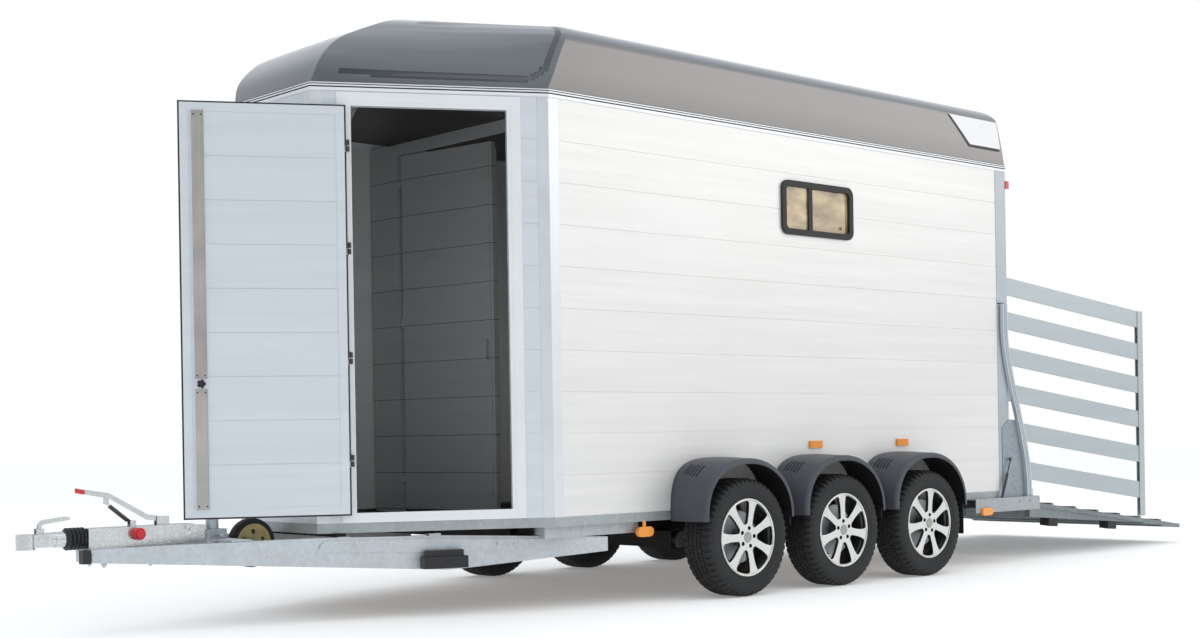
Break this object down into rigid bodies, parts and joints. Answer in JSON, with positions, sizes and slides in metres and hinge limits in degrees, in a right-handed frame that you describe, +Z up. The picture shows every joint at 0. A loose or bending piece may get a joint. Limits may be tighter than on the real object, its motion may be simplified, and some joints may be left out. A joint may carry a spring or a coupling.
{
  "type": "livestock trailer",
  "caption": "Multi-axle livestock trailer with planked aluminium body, domed roof, slanted nose with side entrance, sliding window, rear ramp, yard gates and overrun coupling",
  "frame": {"origin": "Centre of the footprint box on the ground, on the centre line between the wheels", "axes": "Front (coupling) is -X, rear (ramp) is +X, the entrance side is -Y, +Z is up"},
  "size_m": [8.5928, 2.348, 3.0405],
  "materials": {
    "galvanised_steel": "matte spangled zinc",
    "zinc_plated": "satin zinc",
    "chassis_steel": "matte spangled zinc",
    "plywood": "sealed ply",
    "floor_rubber": "matte",
    "plank_aluminium": "satin anodised",
    "inner_aluminium": "satin anodised",
    "trim_aluminium": "satin anodised",
    "white_trim": "satin white",
    "roof_polyester": "glossy dark grey",
    "black_rubber": "matte",
    "tinted_glass": "bronze tint",
    "fender_plastic": "grained",
    "amber_lens": "ribbed lens",
    "red_lens": "ribbed lens",
    "red_plastic": "satin",
    "black_plastic": "satin",
    "black_steel": "gloss black",
    "tyre": "matte",
    "alloy": "machined face, black pockets",
    "yellow_zinc": "yellow passivated"
  },
  "bodies": {
    "trailer_body": {"drawbar_beams": "galvanised_steel", "chassis_frame": "chassis_steel", "floor_deck": "plywood", "floor_mat": "floor_rubber", "sill_rails": "galvanised_steel", "left_wall": "plank_aluminium", "right_wall": "plank_aluminium", "nose_walls": "plank_aluminium", "bulkhead": "inner_aluminium", "corner_posts": "trim_aluminium", "rear_frame": "trim_aluminium", "eaves_rail": "white_trim", "roof_shell": "roof_polyester", "window_frame": "black_rubber", "window_fixed_pane": "tinted_glass", "door_frame": "white_trim", "side_profiles": "trim_aluminium", "cheek_plates": "galvanised_steel", "ramp_struts": "black_steel", "fenders_left": "fender_plastic", "fenders_right": "fender_plastic", "amber_lamps": "amber_lens", "rear_lamps": "red_lens", "axle_tubes": "galvanised_steel", "overrun_housing": "zinc_plated", "housing_cap": "red_plastic", "chock_holder": "black_plastic", "jockey_clamp": "galvanised_steel", "bellows": "black_rubber"},
    "coupling": {"coupling_head": "zinc_plated"},
    "handle": {"coupling_handle": "zinc_plated"},
    "handbrake": {"handbrake_lever": "zinc_plated"},
    "spring_barrel": {"brake_spring": "black_steel"},
    "spring_rod": {"brake_spring_rod": "zinc_plated"},
    "jockey_post": {"jockey_tube": "galvanised_steel"},
    "jockey_ram": {"jockey_inner": "galvanised_steel"},
    "jockey_caster": {"jockey_fork": "galvanised_steel"},
    "jockey_roller": {"jockey_wheel": "yellow_zinc"},
    "jockey_winder": {"jockey_crank": "galvanised_steel"},
    "entrance_door": {"door_leaf": "plank_aluminium", "door_seal": "black_rubber"},
    "entrance_latch": {"door_latch": "black_plastic"},
    "partition": {"partition_gate": "inner_aluminium"},
    "window_slider": {"window_sliding_pane": "tinted_glass"},
    "ramp": {"ramp_panel": "trim_aluminium", "ramp_feet": "black_rubber"},
    "yard_gate_left": {"gate_left": "trim_aluminium"},
    "yard_gate_right": {"gate_right": "trim_aluminium"},
    "wheel_l1": {"tyre_l1": "tyre", "rim_l1": "alloy"},
    "wheel_l2": {"tyre_l2": "tyre", "rim_l2": "alloy"},
    "wheel_l3": {"tyre_l3": "tyre", "rim_l3": "alloy"},
    "wheel_r1": {"tyre_r1": "tyre", "rim_r1": "alloy"},
    "wheel_r2": {"tyre_r2": "tyre", "rim_r2": "alloy"},
    "wheel_r3": {"tyre_r3": "tyre", "rim_r3": "alloy"}
  },
  "joints": [
    {"name": "overrun_slide", "type": "slide", "parent": "trailer_body", "child": "coupling", "axis": [1, 0, 0], "range_m": [0, 0.05]},
    {"name": "coupling_handle_lift", "type": "hinge", "parent": "coupling", "child": "handle", "pos_m": [-4.19138, 0, 0.487], "axis": [0, -1, 0], "range_deg": [0, 40]},
    {"name": "handbrake_pull", "type": "hinge", "parent": "trailer_body", "child": "handbrake", "pos_m": [-3.59638, 0, 0.512], "axis": [0, 1, 0], "range_deg": [-5, 30]},
    {"name": "brake_spring_swing", "type": "hinge", "parent": "trailer_body", "child": "spring_barrel", "pos_m": [-3.74638, 0, 0.5], "axis": [0, 1, 0], "range_deg": [-7, 41]},
    {"name": "brake_spring_stretch", "type": "slide", "parent": "spring_barrel", "child": "spring_rod", "axis": [-0.7846, 0, 0.6201], "range_m": [-0.012, 0.071]},
    {"name": "jockey_clamp_slide", "type": "slide", "parent": "trailer_body", "child": "jockey_post", "axis": [0, 0, 1], "range_m": [-0.1, 0]},
    {"name": "jockey_ram_slide", "type": "slide", "parent": "jockey_post", "child": "jockey_ram", "axis": [0, 0, 1], "range_m": [-0.15, 0]},
    {"name": "jockey_swivel", "type": "hinge", "parent": "jockey_ram", "child": "jockey_caster", "pos_m": [-3.33238, 0, 0.4], "axis": [0, 0, 1], "range_deg": [-30, 30]},
    {"name": "jockey_wheel_spin", "type": "hinge", "parent": "jockey_caster", "child": "jockey_roller", "pos_m": [-3.12038, 0, 0.375], "axis": [0, 1, 0], "continuous": true},
    {"name": "jockey_crank_turn", "type": "hinge", "parent": "jockey_post", "child": "jockey_winder", "pos_m": [-3.33238, 0, 0.9], "axis": [0, 0, 1], "continuous": true},
    {"name": "entrance_door_swing", "type": "hinge", "parent": "trailer_body", "child": "entrance_door", "pos_m": [-2.82973, -0.45742, 1.5], "axis": [0, 0, 1], "range_deg": [0, 180]},
    {"name": "entrance_latch_turn", "type": "hinge", "parent": "entrance_door", "child": "entrance_latch", "pos_m": [-3.44997, -0.13229, 1.141], "axis": [0.4894, 0.8721, 0], "range_deg": [0, 90]},
    {"name": "partition_swing", "type": "hinge", "parent": "trailer_body", "child": "partition", "pos_m": [-1.75638, 0.6, 1.5], "axis": [0, 0, 1], "range_deg": [-7, 90]},
    {"name": "window_slide", "type": "slide", "parent": "trailer_body", "child": "window_slider", "axis": [1, 0, 0], "range_m": [-0.18, 0]},
    {"name": "ramp_hinge", "type": "hinge", "parent": "trailer_body", "child": "ramp", "pos_m": [2.30562, 0, 0.366], "axis": [0, -1, 0], "range_deg": [0, 105]},
    {"name": "gate_left_lift", "type": "slide", "parent": "trailer_body", "child": "yard_gate_left", "axis": [0, 0, 1], "range_m": [0, 0.15]},
    {"name": "gate_right_lift", "type": "slide", "parent": "trailer_body", "child": "yard_gate_right", "axis": [0, 0, 1], "range_m": [0, 0.15]},
    {"name": "wheel_l1_spin", "type": "hinge", "parent": "trailer_body", "child": "wheel_l1", "pos_m": [-0.79638, -1.0535, 0.315], "axis": [0, 1, 0], "continuous": true},
    {"name": "wheel_l2_spin", "type": "hinge", "parent": "trailer_body", "child": "wheel_l2", "pos_m": [0.00062, -1.0535, 0.315], "axis": [0, 1, 0], "continuous": true},
    {"name": "wheel_l3_spin", "type": "hinge", "parent": "trailer_body", "child": "wheel_l3", "pos_m": [0.79762, -1.0535, 0.315], "axis": [0, 1, 0], "continuous": true},
    {"name": "wheel_r1_spin", "type": "hinge", "parent": "trailer_body", "child": "wheel_r1", "pos_m": [-0.79638, 1.0535, 0.315], "axis": [0, 1, 0], "continuous": true},
    {"name": "wheel_r2_spin", "type": "hinge", "parent": "trailer_body", "child": "wheel_r2", "pos_m": [0.00062, 1.0535, 0.315], "axis": [0, 1, 0], "continuous": true},
    {"name": "wheel_r3_spin", "type": "hinge", "parent": "trailer_body", "child": "wheel_r3", "pos_m": [0.79762, 1.0535, 0.315], "axis": [0, 1, 0], "continuous": true}
  ],
  "couplings": [
    {"joint": "brake_spring_swing", "follows": "handbrake_pull", "ratio": 1.35},
    {"joint": "brake_spring_stretch", "follows": "handbrake_pull", "m_per_rad": 0.1332}
  ]
}
